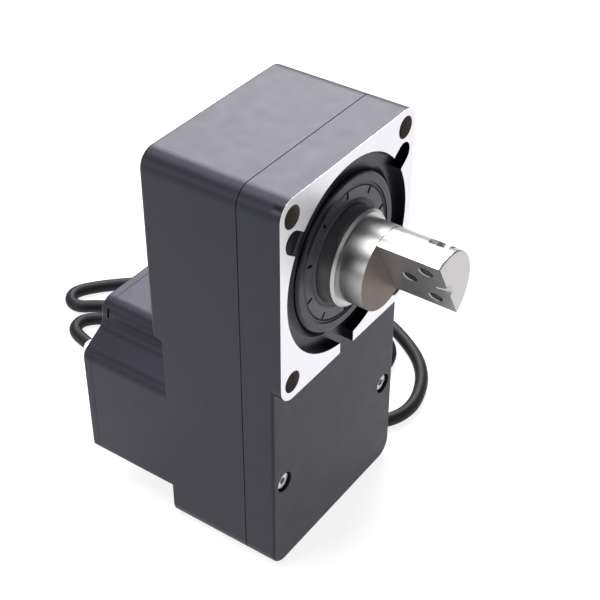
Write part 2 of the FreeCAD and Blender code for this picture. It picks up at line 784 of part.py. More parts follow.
def output_shaft():
    """The whole turned shaft, its nose half cut away to a tongue with three cross holes."""
    radius, tip = size("tongue"), size("shaft_end")
    tongue = lathe([
        (0, size("half_cut_face") + 1), (0, tip), (radius - 0.6, tip),
        (radius - 0.18, tip + 0.18, radius, tip + 0.6), (radius, size("half_cut_face") + 1),
    ])
    spine = fuse(
        rod("nose", "half_cut_face", "0"),
        tongue,
        taper("journal - 1", "journal", "shoulder_face", "shoulder_face + 1"),
        rod("journal", "shoulder_face + 1", "front_bearing"),
        rod("front_bearing_in", "front_bearing", "bearing_ring_start + 0.4"),
        rod("collar", "bearing_ring_start + 0.1", "output_gear_start - 0.2"),
        rod("gear_seat", "output_gear_start - 1", "gear_seat_end"),
        rod("shaft_waist", "gear_seat_end - 0.4", "rear_bearing - 0.1"),
        rod("rear_seat", "rear_bearing - 1", "shaft_tail"),
    )
    turn = math.radians(size("flat_turn"))
    offset, end, face = size("flat_offset"), size("shaft_end"), size("half_cut_face")
    # the tongue's flat looks away from the solid side, which lies at flat_turn above +X
    removed = Part.makeBox(40, face - end + 5, 60, Vector(-40 + offset, end - 5, -30))
    removed.rotate(Vector(), Vector(0, 1, 0), -size("flat_turn"))
    way = Vector(math.cos(turn), 0, math.sin(turn))
    bore, rim, side = size("cross_hole"), size("cross_rim"), size("hole_side")
    holes = []
    for y, aside in ((size("hole_near"), 0), (size("hole_far"), side), (size("hole_far"), -side)):
        foot = Vector(-aside * math.sin(turn), y, aside * math.cos(turn))
        flat = foot + way * offset
        # a plain bore, a thin bevel at the flat, and a wider sink from the round side
        sink = math.sqrt(size("nose")**2 - aside**2) - size("sink_land")
        holes += [
            Part.makeCylinder(bore, 40, foot - way * 5, way),
            Part.makeCone(bore + rim, bore, rim, flat - way * 0.01, way),
            Part.makeCylinder(size("cross_sink"), 12, foot + way * sink, way),
        ]
    # a centre hole with curved flanks
    centre_drill = lathe([
        (0, end - 1), (3.3, end - 1), (3.3, end), (1.5, end + 2.3, 1.0, end + 4.9), (0, end + 5.7),
    ])
    start, wide, seat = size("output_gear_start"), size("output_gear_wide"), size("gear_seat")
    keyway = Part.makeBox(10.02, wide, 9, Vector(-5.01, start, seat - 5.03))
    groove = tube("gear_seat + 1", "gear_seat - 1.2", "gear_ring_start", "gear_ring_end")
    cutters = fuse(feature(removed, "Half"), *[feature(hole, "Hole") for hole in holes],
                   centre_drill, feature(keyway, "Keyway"), groove)
    node("output_shaft", cut(spine, cutters))


def output_group():
    output_shaft()
    start, wide = size("output_gear_start"), size("output_gear_wide")
    towards = direction(CENTRE, SECOND)
    teeth = int(size("output_teeth"))
    wheel = involute_wheel(size("output_mod"), teeth, 0.8, start, wide, CENTRE, gap_phase(teeth, towards))
    around = [math.radians(turn) for turn in (0, 60, 120, 180, 240, 300)]
    lightening = [
        rod("4.2", start - 1, start + wide + 1, (f"25.5 * {math.cos(a)}", f"25.5 * {math.sin(a)}"))
        for a in around
    ]
    slot = feature(Part.makeBox(10.06, 20, 9.3, Vector(-5.03, start - 2, 13)), "Slot")
    bore = rod("gear_seat + fit", start - 1, start + wide + 1)
    node("output_gear", cut(wheel, fuse(bore, slot, *lightening)))
    key = plate("key_blank", "5", "14", "22", str(start + 0.2), str(start + wide - 0.3), "0.4")
    node("output_key", key)
    snap_ring("output_gear_snap_ring", "gear_ring_start + 0.05", "gear_ring_end - 0.1", "17.9", "22", "4.5")


def second_countershaft():
    pinion_start, pinion_wide = size("output_gear_start"), size("output_gear_wide")
    pinion = involute_wheel(size("output_mod"), int(size("pinion_teeth")), 1.0, pinion_start, pinion_wide,
                            SECOND, direction(SECOND, CENTRE))
    gear_end = "middle_gear_start + middle_gear_wide"
    shaft = fuse(
        rod("small_in", "second_front + 0.1", "second_rear + narrow_wide", SECOND),
        rod("6", "second_front + small_wide + 0.2", pinion_start + 1, SECOND),
        pinion,
        rod("8", pinion_start + pinion_wide - 1, gear_end, SECOND),
        rod("5.2", f"{gear_end} - 1", "second_rear - 0.1", SECOND),
    )
    start, wide = size("middle_gear_start"), size("middle_gear_wide")
    keyway = Part.makeBox(3.02, wide + 0.02, 5, Vector(-1.51, start, second_z + 6))
    node("second_shaft", cut(shaft, feature(keyway, "Keyway")))
    wheel = involute_wheel(size("middle_mod"), int(size("middle_teeth")), 0.8, start, wide,
                           SECOND, gap_phase(size("middle_teeth"), direction(SECOND, FIRST)))
    slot = Part.makeBox(3.06, wide + 4, 4, Vector(-1.53, start - 2, second_z + 5.4))
    bore = rod("8 + fit", start - 2, start + wide + 2, SECOND)
    node("second_gear", cut(wheel, fuse(bore, feature(slot, "Slot"))))
    key = Part.makeBox(3, wide - 0.6, 3.2, Vector(-1.5, start + 0.3, second_z + 6.05))
    node("second_gear_key", feature(key, "Key"))


def first_countershaft():
    pinion_start, pinion_wide = size("middle_gear_start") - 1, size("middle_gear_wide") + 1.6
    pinion = involute_wheel(size("middle_mod"), int(size("pinion_teeth")), 1.0, pinion_start, pinion_wide,
                            FIRST, direction(FIRST, SECOND))
    gear_end = "first_gear_start + first_gear_wide"
    shaft = fuse(
        rod("first_in", "first_front + 0.1", "first_rear + first_wide - 0.1", FIRST),
        rod("4.6", "first_front + first_wide + 0.3", pinion_start + 1, FIRST),
        pinion,
        rod("5", pinion_start + pinion_wide - 1, gear_end, FIRST),
        rod("3.8", f"{gear_end} - 1", "first_rear - 0.1", FIRST),
    )
    node("first_shaft", shaft)
    start, wide = size("first_gear_start"), size("first_gear_wide")
    wheel = involute_wheel(size("motor_mod"), int(size("first_teeth")), 0.8, start, wide,
                           FIRST, gap_phase(size("first_teeth"), direction(FIRST, MOTOR)))
    node("first_gear", cut(wheel, rod("5 + fit", start - 2, start + wide + 2, FIRST)))


# ---------------------------------------------------------------------------------------------
# Motor
# ---------------------------------------------------------------------------------------------

STATOR_TEETH = 9
MAGNETS = 8


def turned_box(inner, outer, half, start, end, angle):
    """A box between two radii from the motor's axis, turned about that axis."""
    box = Part.makeBox(outer - inner, end - start, 2 * half, Vector(inner, start, -half))
    box.rotate(Vector(), Vector(0, 1, 0), -angle)
    box.translate(Vector(0, 0, size("motor_axis")))
    return box


def motor_ring(outer, inner, start, end, arc=360):
    """A ring, or a part of one, about the motor's axis."""
    foot, above = Vector(0, start, size("motor_axis")), Vector(0, start - 1, size("motor_axis"))
    ring = Part.makeCylinder(outer, end - start, foot, Vector(0, 1, 0), arc)
    return ring.cut(Part.makeCylinder(inner, end - start + 2, above, Vector(0, 1, 0)))


def rotor():
    start, end = size("rotor_start"), size("rotor_end")
    pinion = involute_wheel(size("motor_mod"), int(size("motor_teeth")), 1.0, size("motor_pinion_start"),
                            size("motor_pinion_wide"), MOTOR, direction(MOTOR, FIRST))
    shaft = fuse(
        pinion,
        rod("small_in", "motor_pinion_start + motor_pinion_wide - 0.4", "rotor_shaft_end", MOTOR),
        rod("5.5", "rotor_front + small_wide + 0.1", "rotor_rear - 0.1", MOTOR),
        rod("7", "rotor_start - 1.4", "rotor_start - 0.1", MOTOR),
    )
    node("rotor_shaft", shaft)
    node("rotor_core", tube("rotor - magnet_thick", "5.5 + fit", "rotor_start", "rotor_end", MOTOR))
    bond = 0.05
    magnets = []
    for k in range(MAGNETS):
        magnet = motor_ring(size("rotor"), size("rotor") - size("magnet_thick") + bond, start, end,
                            size("magnet_arc"))
        magnet.rotate(Vector(0, 0, size("motor_axis")), Vector(0, 1, 0), 360 / MAGNETS * k)
        magnets.append(feature(magnet, "Magnet"))
    node("rotor_magnets", group(*magnets))


def stator():
    start, end, bore = size("rotor_start"), size("rotor_end"), size("motor_bore")
    shoe_in, shoe_out, half = size("shoe_in"), size("shoe_out"), size("tooth_half")
    inner_yoke = bore - size("yoke_thick")
    pitch = 360 / STATOR_TEETH
    around = [pitch * k for k in range(STATOR_TEETH)]
    yoke = motor_ring(bore - 0.03, inner_yoke, start, end)
    arms = [turned_box(shoe_out - 1.2, inner_yoke + 0.6, half, start, end, a) for a in around]
    gaps = [turned_box(shoe_in - 1, shoe_out + 1, 1.2, start - 2, end + 2, a + pitch / 2) for a in around]
    shoes = motor_ring(shoe_out, shoe_in, start, end).cut(gaps[0].multiFuse(gaps[1:]))
    node("stator_core", feature(yoke.multiFuse(arms + [shoes]).removeSplitter(), "Core"))
    coils = []
    for a in around:
        coil = turned_box(shoe_out + 0.2, inner_yoke - 0.4, half + 2, start - 3.5, end + 3.5, a)
        core = turned_box(shoe_out - 1, inner_yoke + 1, half + 0.1, start - 0.2, end + 0.2, a)
        for halfway in (a - pitch / 2, a + pitch / 2):
            coil = coil.cut(turned_box(shoe_in - 1, bore, 1.9, start - 8, end + 8, halfway))
        coils.append(feature(coil.cut(core), "Coil"))
    node("stator_coils", group(*coils))


def sensor_board_and_washer():
    board = tube("motor_bore - 1.5", "small_out + 3.3", "board_start", "board_start + board_thick", MOTOR)
    node("sensor_board", board)
    washer_start = "rotor_rear + small_wide - 0.25"
    node("wave_washer", tube("small_out - 0.4", "7.5", washer_start, f"{washer_start} + 0.3", MOTOR))


# ---------------------------------------------------------------------------------------------
# Cable
# ---------------------------------------------------------------------------------------------

# The cable's route, in order from the strain relief to the connector. A height of FLOOR is the height of
# the cable's axis where it lies on the surface that the gearbox stands on.
FLOOR = -132.8
CABLE_ROUTE = [
    # out of the strain relief and down behind the motor
    (24, 127, -106), (24, 141.5, -106), (31, 155.5, -112), (46, 160, -118.5), (61, 154, -125),
    (74, 143, -130.5), (87.5, 129, FLOOR), (99, 111.5, FLOOR), (107, 91, FLOOR), (109.5, 69, FLOOR),
    # inner loop beside the gearbox
    (109, 49, FLOOR), (103.6, 39.7, FLOOR), (94.4, 34.4, FLOOR), (83.6, 34.4, FLOOR), (74.4, 39.7, FLOOR),
    (69, 49, FLOOR), (69.5, 62.5, FLOOR), (71, 78, FLOOR), (69.5, 93, FLOOR), (63.5, 107.5, FLOOR),
    (58.5, 121.5, FLOOR), (56, 136, FLOOR), (55, 150.5, FLOOR), (52.5, 164, FLOOR), (49, 173.5, FLOOR),
    # far fold behind the motor
    (44.5, 181, FLOOR), (39.2, 187.2, FLOOR), (39.2, 192.7, FLOOR), (42.8, 196.9, FLOOR),
    (48.2, 197.6, FLOOR), (56.2, 192.4, FLOOR), (66.2, 182.9, FLOOR), (76.8, 170.4, FLOOR),
    # outer loop beside the gearbox
    (86.5, 157.5, FLOOR), (96.6, 143.4, FLOOR), (105.8, 129.2, FLOOR), (114.2, 113.4, FLOOR),
    (120.5, 97, FLOOR), (122.5, 80, FLOOR), (122, 64.5, FLOOR), (118.5, 49.5, FLOOR), (112, 36.5, FLOOR),
    (104, 24.5, FLOOR), (94.5, 16, FLOOR), (84, 10.8, FLOOR), (73, 8, FLOOR), (63.3, 9, FLOOR),
    (55, 13.6, FLOOR), (49.8, 21.3, FLOOR), (47.8, 32.5, FLOOR), (48.8, 46, FLOOR), (52.5, 60.5, FLOOR),
    (57.5, 75, FLOOR), (59.5, 90, FLOOR), (56, 104.5, FLOOR), (45.5, 113, FLOOR), (32, 118, FLOOR),
    (21.5, 127.5, FLOOR), (17.5, 140.5, FLOOR), (17.5, 153.5, FLOOR), (19.5, 165, FLOOR),
    # near fold behind the motor, then the connector
    (22.3, 175.3, FLOOR), (26.8, 178.5, FLOOR), (32.3, 178.2, FLOOR), (38.2, 172.4, FLOOR),
    (41, 165.4, FLOOR), (41.6, 157.8, FLOOR),
]


def cable_tube(points, radius):
    """Straight runs joined by tangent arcs, each arc as large as its two runs allow."""
    knots = [Vector(*point) for point in points]
    edges, start, radii = [], knots[0], []
    for before, corner, after in zip(knots, knots[1:], knots[2:]):
        coming, going = corner - before, after - corner
        shorter = min(coming.Length, going.Length)
        turn = coming.getAngle(going)
        tangent = 0.45 * shorter
        bend = tangent / math.tan(turn / 2)
        coming.normalize()
        going.normalize()
        first, last = corner - coming * tangent, corner + going * tangent
        inward = (going - coming).normalize()
        centre = corner + inward * (bend / math.cos(turn / 2))
        middle = centre - inward * bend
        edges.append(Part.LineSegment(start, first).toShape())
        edges.append(Part.Arc(first, middle, last).toShape())
        radii.append(round(bend, 1))
        start = last
    edges.append(Part.LineSegment(start, knots[-1]).toShape())
    route = Part.Wire(edges)
    section = Part.Wire(Part.makeCircle(radius, knots[0], knots[1] - knots[0]))
    solid = route.makePipeShell([section], True, False)
    expected = math.pi * radius**2 * route.Length
    print("cable length", round(route.Length, 1), "radii", radii)
    print("cable volume over section x length", round(solid.Volume / expected, 4))
    return solid


def cable_gland():
    """A gland screwed through the cover, with its nut inside, its hexagon outside and a domed cap."""
    inside, outside = size("motor_rear") + size("gasket_thick"), value_of(OUTER_FACE)
    tip = outside + size("gland_tall")
    body = fuse(
        rod("gland", inside - 4.5, outside + 0.5, GLAND),
        hexagon(size("gland_across"), outside, tip - 2, GLAND),
        lathe([(0, tip - 2.5), (6.4, tip - 2.5), (6.4, tip - 0.8), (6.0, tip - 0.2, 5.2, tip),
               (0, tip)], GLAND),
    )
    nut = tube("gland_nut", "gland - 0.5", inside - 3.5, inside, GLAND)
    node("cable_gland", fuse(body, nut))


def strain_relief():
    """A ribbed, tapered sleeve from the gland's cap to where the cable comes free."""
    start, end = value_of(OUTER_FACE) + size("gland_tall"), size("relief_end")
    ribs, thinner, groove = 6, 0.22, 0.7
    pitch = (end - start) / ribs
    outline = [(0, start)]
    for rib in range(ribs):
        radius = size("relief") - thinner * rib
        y = start + pitch * rib
        outline += [(radius, y), (radius - 0.1, y + 0.62 * pitch), (radius - groove, y + 0.68 * pitch),
                    (radius - groove, y + pitch)]
    outline.append((0, end))
    node("strain_relief", lathe(outline, GLAND))


def connector():
    """A rectangular plug on the cable's end, lying on the floor, with six contacts in two rows."""
    tail, tip = (Vector(*point) for point in CABLE_ROUTE[-2:])
    ahead = (tip - tail).normalize()
    heading = math.degrees(math.atan2(ahead.y, ahead.x))
    long, wide, tall = size("plug_long"), size("plug_wide"), size("plug_tall")
    boot = size("plug_boot")

    def laid(shape):
        """Turn a shape drawn along +X onto the cable's end."""
        shape.rotate(Vector(), Vector(0, 0, 1), heading)
        shape.translate(tip)
        return shape

    low = size("bottom") - tip.z
    shell = Part.makeBox(long, wide, tall, Vector(boot - 1, -wide / 2, low))
    shell = shell.makeFillet(1.0, [edge for edge in shell.Edges if edge.Length > wide + 1])
    sleeve = Part.makeCone(3.6, 4.0, boot, Vector(), Vector(1, 0, 0))
    latch = Part.makeBox(12, 5, 1.4, Vector(boot + 6, -2.5, low + tall - 0.01))
    mouth = Part.makeBox(8, wide - 2.4, tall - 2.4, Vector(boot + long - 8, -wide / 2 + 1.2, low + 1.2))
    below = Part.makeBox(80, 30, 5, Vector(-10, -15, low - 5))
    plug = shell.fuse([sleeve, latch]).cut([mouth, below])
    node("cable_connector", feature(laid(plug), "Plug"))
    pins = []
    for row in (-1, 1):
        for column in (-1, 0, 1):
            corner = Vector(boot + long - 8, 3.4 * column - 0.5, low + tall / 2 + 1.3 * row - 0.4)
            pins.append(feature(laid(Part.makeBox(6, 1.0, 0.8, corner)), "Contact"))
    node("connector_pins", group(*pins))


def build():
    front_shell()
    rear_housing()
    housing_gasket()
    rear_cover()
    cover_gasket()
    fasteners()
    oil_seal()
    for name, at, start, bore, outer, wide, balls in (
        ("output_front_bearing", CENTRE, "front_bearing", "front_bearing_in", "front_bearing_out",
         "big_bearing_wide", 16),
        ("output_rear_bearing", CENTRE, "rear_bearing", "rear_seat", "rear_bearing_out",
         "big_bearing_wide", 10),
        ("second_front_bearing", SECOND, "second_front", "small_in", "small_out", "small_wide", 7),
        ("second_rear_bearing", SECOND, "second_rear", "small_in", "narrow_out", "narrow_wide", 9),
        ("first_front_bearing", FIRST, "first_front", "first_in", "first_out", "first_wide", 8),
        ("first_rear_bearing", FIRST, "first_rear", "first_in", "first_out", "first_wide", 8),
        ("rotor_front_bearing", MOTOR, "rotor_front", "small_in", "small_out", "small_wide", 7),
        ("rotor_rear_bearing", MOTOR, "rotor_rear", "small_in", "small_out", "small_wide - 0.3", 7),
    ):
        bearing(name, at, *(value_of(rule) for rule in (start, bore, outer, wide)), balls)
    snap_ring("front_bearing_snap_ring", "bearing_ring_start + 0.05", "bearing_ring_end - 0.05",
              "28.4", "32.4", "7")
    output_group()
    second_countershaft()
    first_countershaft()
    rotor()
    stator()
    sensor_board_and_washer()
    cable_gland()
    strain_relief()
    node("cable", feature(cable_tube(CABLE_ROUTE, size("cable")), "Tube"))
    connector()


build()
doc.recompute()

for thing in doc.Objects:
    if "Invalid" in thing.State or "Error" in thing.State:
        raise RuntimeError(f"{thing.Name} ({thing.Label}) failed to recompute")
os.makedirs("parts", exist_ok=True)
for thing in nodes:
    shape = thing.Shape
    if shape.isNull() or not shape.isValid() or not shape.Solids:
        raise RuntimeError(f"{thing.Label} is not a valid solid")
    shape.exportStep(f"parts/{thing.Label}.step")
    print(f"{thing.Label:28s} {len(shape.Solids):3d} solids {shape.Volume / 1000:9.2f} cm3")
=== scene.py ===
import math

import bpy
from mathutils import Matrix, Vector


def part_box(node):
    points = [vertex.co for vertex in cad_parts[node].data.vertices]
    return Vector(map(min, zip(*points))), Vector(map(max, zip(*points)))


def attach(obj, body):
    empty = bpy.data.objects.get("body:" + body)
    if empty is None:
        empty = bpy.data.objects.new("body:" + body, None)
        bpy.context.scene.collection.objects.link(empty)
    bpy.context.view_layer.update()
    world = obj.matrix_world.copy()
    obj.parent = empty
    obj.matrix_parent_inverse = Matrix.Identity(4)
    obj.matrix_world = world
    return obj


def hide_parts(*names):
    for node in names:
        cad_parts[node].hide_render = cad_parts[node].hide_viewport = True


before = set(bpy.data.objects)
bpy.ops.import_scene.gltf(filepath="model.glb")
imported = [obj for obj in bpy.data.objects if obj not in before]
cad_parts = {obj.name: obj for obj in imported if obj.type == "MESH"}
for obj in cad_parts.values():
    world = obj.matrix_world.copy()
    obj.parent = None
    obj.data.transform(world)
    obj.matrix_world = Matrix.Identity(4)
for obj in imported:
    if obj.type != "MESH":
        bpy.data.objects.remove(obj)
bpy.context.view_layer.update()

# Looks of an offset, parallel-shaft gear motor: powder-coated castings with a bare machined pad, a ground
# steel shaft with a half-cut tongue, bright screws and a loose black cable on the floor behind the object.
# Frame, in metres: the output shaft lies along Y and points to -Y, +Z is up, the pad is at y = 0.

MM = 0.001
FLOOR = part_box("front_shell")[0].z

# Places in the frame that masks in the materials need
BOLT_OFFSET = 36.77 * MM
BOLT_HOLE = 4.6 * MM
HALF_CUT_FACE = -16.2 * MM
MOTOR_AXIS = -84.0 * MM
COVER_SCREW_X = 37.0 * MM
COVER_SCREW_MIDDLE = -90.5 * MM
COVER_SCREW_SPREAD = 21.0 * MM
COVER_SCREW_HEAD = 3.4 * MM

# The recess lies within these limits, from just behind the pad's face to just past the recess's floor
RECESS_START = 0.3 * MM
RECESS_END = 4.2 * MM
RECESS_HALF = 43.2 * MM
RECESS_BOTTOM = -44.2 * MM

# A mask for a flat face reaches this far past it
FACE_SKIN = 0.05 * MM

# The sweep of the cutter that faced the pad: its centre, and its marks in radians per metre
CUTTER_X = 0.11
CUTTER_Z = 0.2
CUTTER_MARKS = 5200

# Fine patterns: pitches in metres, rings in radians per metre of radius, and ridges around a screw head
SHEET_PITCH = 0.5 * MM
WIRE_PITCH = 0.9 * MM
TRACK_RINGS = 2600
FACING_RINGS = 9000
KNURLS = 40


# ---------------------------------------------------------------------------------------------
# Material building
# ---------------------------------------------------------------------------------------------

class Finish:
    """A material under construction. Its methods add nodes and return sockets to link on."""

    def __init__(self, name, colour, roughness, metallic=0.0):
        self.material = bpy.data.materials.new(name)
        self.material.use_nodes = True
        self.tree = self.material.node_tree
        self.shader = self.tree.nodes["Principled BSDF"]
        self.shader.inputs["Base Color"].default_value = (*colour, 1)
        self.shader.inputs["Roughness"].default_value = roughness
        self.shader.inputs["Metallic"].default_value = metallic
        self.place = self.node("ShaderNodeTexCoord").outputs["Object"]

    def node(self, kind, **settings):
        made = self.tree.nodes.new(kind)
        for key, value in settings.items():
            setattr(made, key, value)
        return made

    def feed(self, socket, value):
        """Link an output to a socket, or set a plain number or colour on it."""
        if isinstance(value, bpy.types.NodeSocket):
            self.tree.links.new(value, socket)
        else:
            socket.default_value = value

    def math(self, operation, a, b=0.0, c=0.0):
        made = self.node("ShaderNodeMath", operation=operation)
        for socket, value in zip(made.inputs, (a, b, c)):
            self.feed(socket, value)
        return made.outputs[0]

    def axes(self):
        """X, Y and Z of the place on the object, in metres."""
        made = self.node("ShaderNodeSeparateXYZ")
        self.feed(made.inputs[0], self.place)
        return made.outputs

    def stretched(self, x, y, z):
        """The place scaled along each axis, for grain that runs one way."""
        made = self.node("ShaderNodeVectorMath", operation="MULTIPLY")
        self.feed(made.inputs[0], self.place)
        made.inputs[1].default_value = (x, y, z)
        return made.outputs[0]

    def noise(self, scale, detail=2.0, at=None, roughness=0.5):
        made = self.node("ShaderNodeTexNoise")
        self.feed(made.inputs["Vector"], at or self.place)
        made.inputs["Scale"].default_value = scale
        made.inputs["Detail"].default_value = detail
        made.inputs["Roughness"].default_value = roughness
        return made.outputs["Fac"]

    def spread(self, value, low, high, source=(0.0, 1.0)):
        """Map a value from one range to another."""
        made = self.node("ShaderNodeMapRange")
        for socket, number in zip(made.inputs, (value, source[0], source[1], low, high)):
            self.feed(socket, number)
        return made.outputs[0]

    def blend(self, factor, a, b):
        """Mix two colours."""
        made = self.node("ShaderNodeMix", data_type="RGBA")
        self.feed(made.inputs["Factor"], factor)
        self.feed(made.inputs["A"], (*a, 1) if isinstance(a, tuple) else a)
        self.feed(made.inputs["B"], (*b, 1) if isinstance(b, tuple) else b)
        return made.outputs["Result"]

    def mix(self, factor, a, b):
        """Mix two numbers."""
        made = self.node("ShaderNodeMix")
        self.feed(made.inputs["Factor"], factor)
        self.feed(made.inputs["A"], a)
        self.feed(made.inputs["B"], b)
        return made.outputs["Result"]

    def bump(self, height, strength, distance, under=None):
        made = self.node("ShaderNodeBump")
        made.inputs["Strength"].default_value = strength
        made.inputs["Distance"].default_value = distance
        self.feed(made.inputs["Height"], height)
        if under:
            self.feed(made.inputs["Normal"], under)
        return made.outputs["Normal"]

    def set(self, name, value):
        self.feed(self.shader.inputs[name], value)

    def around(self, u, v):
        """Distance from an axis whose two coordinates are given."""
        return self.math("SQRT", self.math("ADD", self.math("MULTIPLY", u, u), self.math("MULTIPLY", v, v)))


def shade(colour, factor):
    return tuple(min(1.0, channel * factor) for channel in colour)


# ---------------------------------------------------------------------------------------------
# Materials
# ---------------------------------------------------------------------------------------------

PAINT = (0.0125, 0.0128, 0.0175)
PAINT_SHEEN = (0.80, 0.77, 1.0)
# near-black colour painted into the recess and its ears as shade
RECESS_PAINTED_SHADE = (0.0035, 0.0035, 0.005)
BARE = (0.86, 0.85, 0.85)
BORE_LOW = (0.42, 0.38, 0.35)
BORE_HIGH = (0.56, 0.52, 0.48)


def powder_coat(name, with_pad=False):
    """Fine-textured dark powder coat. On the front half the pad's face and the bolt holes are bare metal."""
    finish = Finish(name, PAINT, 0.45)
    finish.set("Specular IOR Level", 0.36)
    finish.set("Specular Tint", (*PAINT_SHEEN, 1))
    mottle = finish.noise(38, 3)
    colour = finish.blend(mottle, shade(PAINT, 0.88), shade(PAINT, 1.14))
    rough = finish.spread(finish.noise(160, 3), 0.40, 0.50)
    if not with_pad:
        grain = finish.bump(finish.noise(2300, 2), 0.20, 0.00006)
        finish.set("Base Color", colour)
        finish.set("Roughness", rough)
        finish.set("Normal", finish.bump(finish.noise(420, 1), 0.10, 0.0001, grain))
        return finish.material
    x, y, z = finish.axes()
    on_pad = finish.math("LESS_THAN", y, FACE_SKIN)
    u = finish.math("SUBTRACT", finish.math("ABSOLUTE", x), BOLT_OFFSET)
    v = finish.math("SUBTRACT", finish.math("ABSOLUTE", z), BOLT_OFFSET)
    in_hole = finish.math("LESS_THAN", finish.around(u, v), BOLT_HOLE + 0.06 * MM)
    bare = finish.math("MAXIMUM", on_pad, in_hole)
    # sweeping cutter marks across the pad
    sweep = finish.around(finish.math("SUBTRACT", x, CUTTER_X), finish.math("SUBTRACT", z, CUTTER_Z))
    marks = finish.math("SINE", finish.math("MULTIPLY", sweep, CUTTER_MARKS))
    scratch = finish.noise(900, 3, finish.stretched(0.25, 1, 1.3))
    metal = finish.blend(scratch, shade(BARE, 0.93), shade(BARE, 1.05))
    metal = finish.blend(on_pad, finish.blend(scratch, BORE_LOW, BORE_HIGH), metal)
    cut = finish.bump(finish.math("MULTIPLY", marks, on_pad), 0.05, 0.00002)
    # the recess and its ears are coloured near black, a painted shade for the deep recess, and made glossier
    deep = finish.math("GREATER_THAN", y, RECESS_START)
    inside = finish.math("LESS_THAN", finish.math("ABSOLUTE", x), RECESS_HALF)
    above = finish.math("GREATER_THAN", z, RECESS_BOTTOM)
    under = finish.math("LESS_THAN", z, RECESS_HALF)
    recess = finish.math("LESS_THAN", y, RECESS_END)
    for limit in (deep, inside, above, under):
        recess = finish.math("MULTIPLY", recess, limit)
    colour = finish.blend(recess, colour, RECESS_PAINTED_SHADE)
    rough = finish.mix(recess, rough, finish.spread(mottle, 0.24, 0.32))
    finish.set("Base Color", finish.blend(bare, colour, metal))
    finish.set("Roughness", finish.mix(bare, rough, finish.spread(scratch, 0.34, 0.46)))
    finish.set("Metallic", finish.math("MULTIPLY", bare, 0.8))
    paint_only = finish.math("SUBTRACT", 1.0, bare)
    grain = finish.math("MULTIPLY", finish.noise(2300, 2), paint_only)
    finish.set("Normal", finish.bump(grain, 0.20, 0.00006, cut))
    return finish.material


def shaft_steel():
    """Ground and turned steel: fine rings on the round parts, a stained step face, milled flats."""
    steel = (0.46, 0.447, 0.45)
    finish = Finish("shaft_steel", steel, 0.2, 1.0)
    x, y, z = finish.axes()
    rings = finish.noise(1.0, 3, finish.stretched(30, 5200, 30), 0.7)
    long_wear = finish.noise(55, 3)
    off_step = finish.math("ABSOLUTE", finish.math("SUBTRACT", y, HALF_CUT_FACE))
    at_step = finish.math("LESS_THAN", off_step, FACE_SKIN)
    polished = finish.blend(rings, shade(steel, 0.94), shade(steel, 1.06))
    stain = finish.blend(long_wear, (0.105, 0.082, 0.070), (0.17, 0.135, 0.12))
    finish.set("Base Color", finish.blend(at_step, polished, stain))
    finish.set("Roughness", finish.mix(at_step, finish.spread(rings, 0.30, 0.38, (0.3, 0.7)), 0.42))
    radius = finish.around(x, z)
    turned = finish.math("SINE", finish.math("MULTIPLY", radius, FACING_RINGS))
    face_marks = finish.bump(finish.math("MULTIPLY", turned, at_step), 0.12, 0.00002)
    finish.set("Normal", finish.bump(rings, 0.05, 0.00002, face_marks))
    return finish.material


def seal_rubber():
    """Dark satin nitrile with a faint bloom."""
    base = (0.030, 0.032, 0.042)
    finish = Finish("seal_rubber", base, 0.42)
    finish.set("Base Color", finish.blend(finish.noise(110, 4), shade(base, 0.8), shade(base, 1.35)))
    finish.set("Roughness", finish.spread(finish.noise(260, 3), 0.34, 0.52))
    finish.set("Normal", finish.bump(finish.noise(1500, 2), 0.12, 0.00005))
    return finish.material


def bright_screw(name, knurled):
    """Zinc-plated screw steel. The cover screws have straight knurling around their heads."""
    base = (0.74, 0.73, 0.71)
    finish = Finish(name, base, 0.24, 1.0)
    finish.set("Base Color", finish.blend(finish.noise(700, 4), shade(base, 0.82), shade(base, 1.12)))
    finish.set("Roughness", finish.spread(finish.noise(500, 3), 0.30, 0.42))
    normal = finish.bump(finish.noise(1800, 2), 0.10, 0.00003)
    if knurled:
        x, y, z = finish.axes()
        u = finish.math("SUBTRACT", finish.math("ABSOLUTE", x), COVER_SCREW_X)
        side = finish.math("ABSOLUTE", finish.math("SUBTRACT", z, COVER_SCREW_MIDDLE))
        v = finish.math("SUBTRACT", side, COVER_SCREW_SPREAD)
        turn = finish.math("ARCTAN2", v, u)
        ridges = finish.math("SINE", finish.math("MULTIPLY", turn, KNURLS))
        outside = finish.math("GREATER_THAN", finish.around(u, v), COVER_SCREW_HEAD)
        normal = finish.bump(finish.math("MULTIPLY", ridges, outside), 0.6, 0.00012, normal)
    finish.set("Normal", normal)
    return finish.material


def metal(name, base, rough, grain_scale, stretch=(1, 1, 1), strength=0.1):
    """Bare metal with machining grain and a thin film of oil that varies its gloss."""
    finish = Finish(name, base, rough, 1.0)
    grain = finish.noise(grain_scale, 3, finish.stretched(*stretch))
    finish.set("Base Color", finish.blend(grain, shade(base, 0.82), shade(base, 1.15)))
    finish.set("Roughness", finish.spread(finish.noise(60, 3), rough * 0.75, rough * 1.3))
    finish.set("Normal", finish.bump(grain, strength, 0.00003))
    return finish.material


def laminations():
    """Stacked electrical steel sheets, seen as fine lines across the shaft's direction."""
    base = (0.30, 0.31, 0.33)
    finish = Finish("stator_sheets", base, 0.45, 0.9)
    y = finish.axes()[1]
    sheets = finish.math("SINE", finish.math("MULTIPLY", y, 2 * math.pi / SHEET_PITCH))
    lines = finish.spread(sheets, 0, 1, (-1, 1))
    finish.set("Base Color", finish.blend(lines, shade(base, 0.55), shade(base, 1.1)))
    finish.set("Roughness", finish.spread(finish.noise(200, 3), 0.36, 0.55))
    finish.set("Normal", finish.bump(sheets, 0.3, 0.00005))
    return finish.material


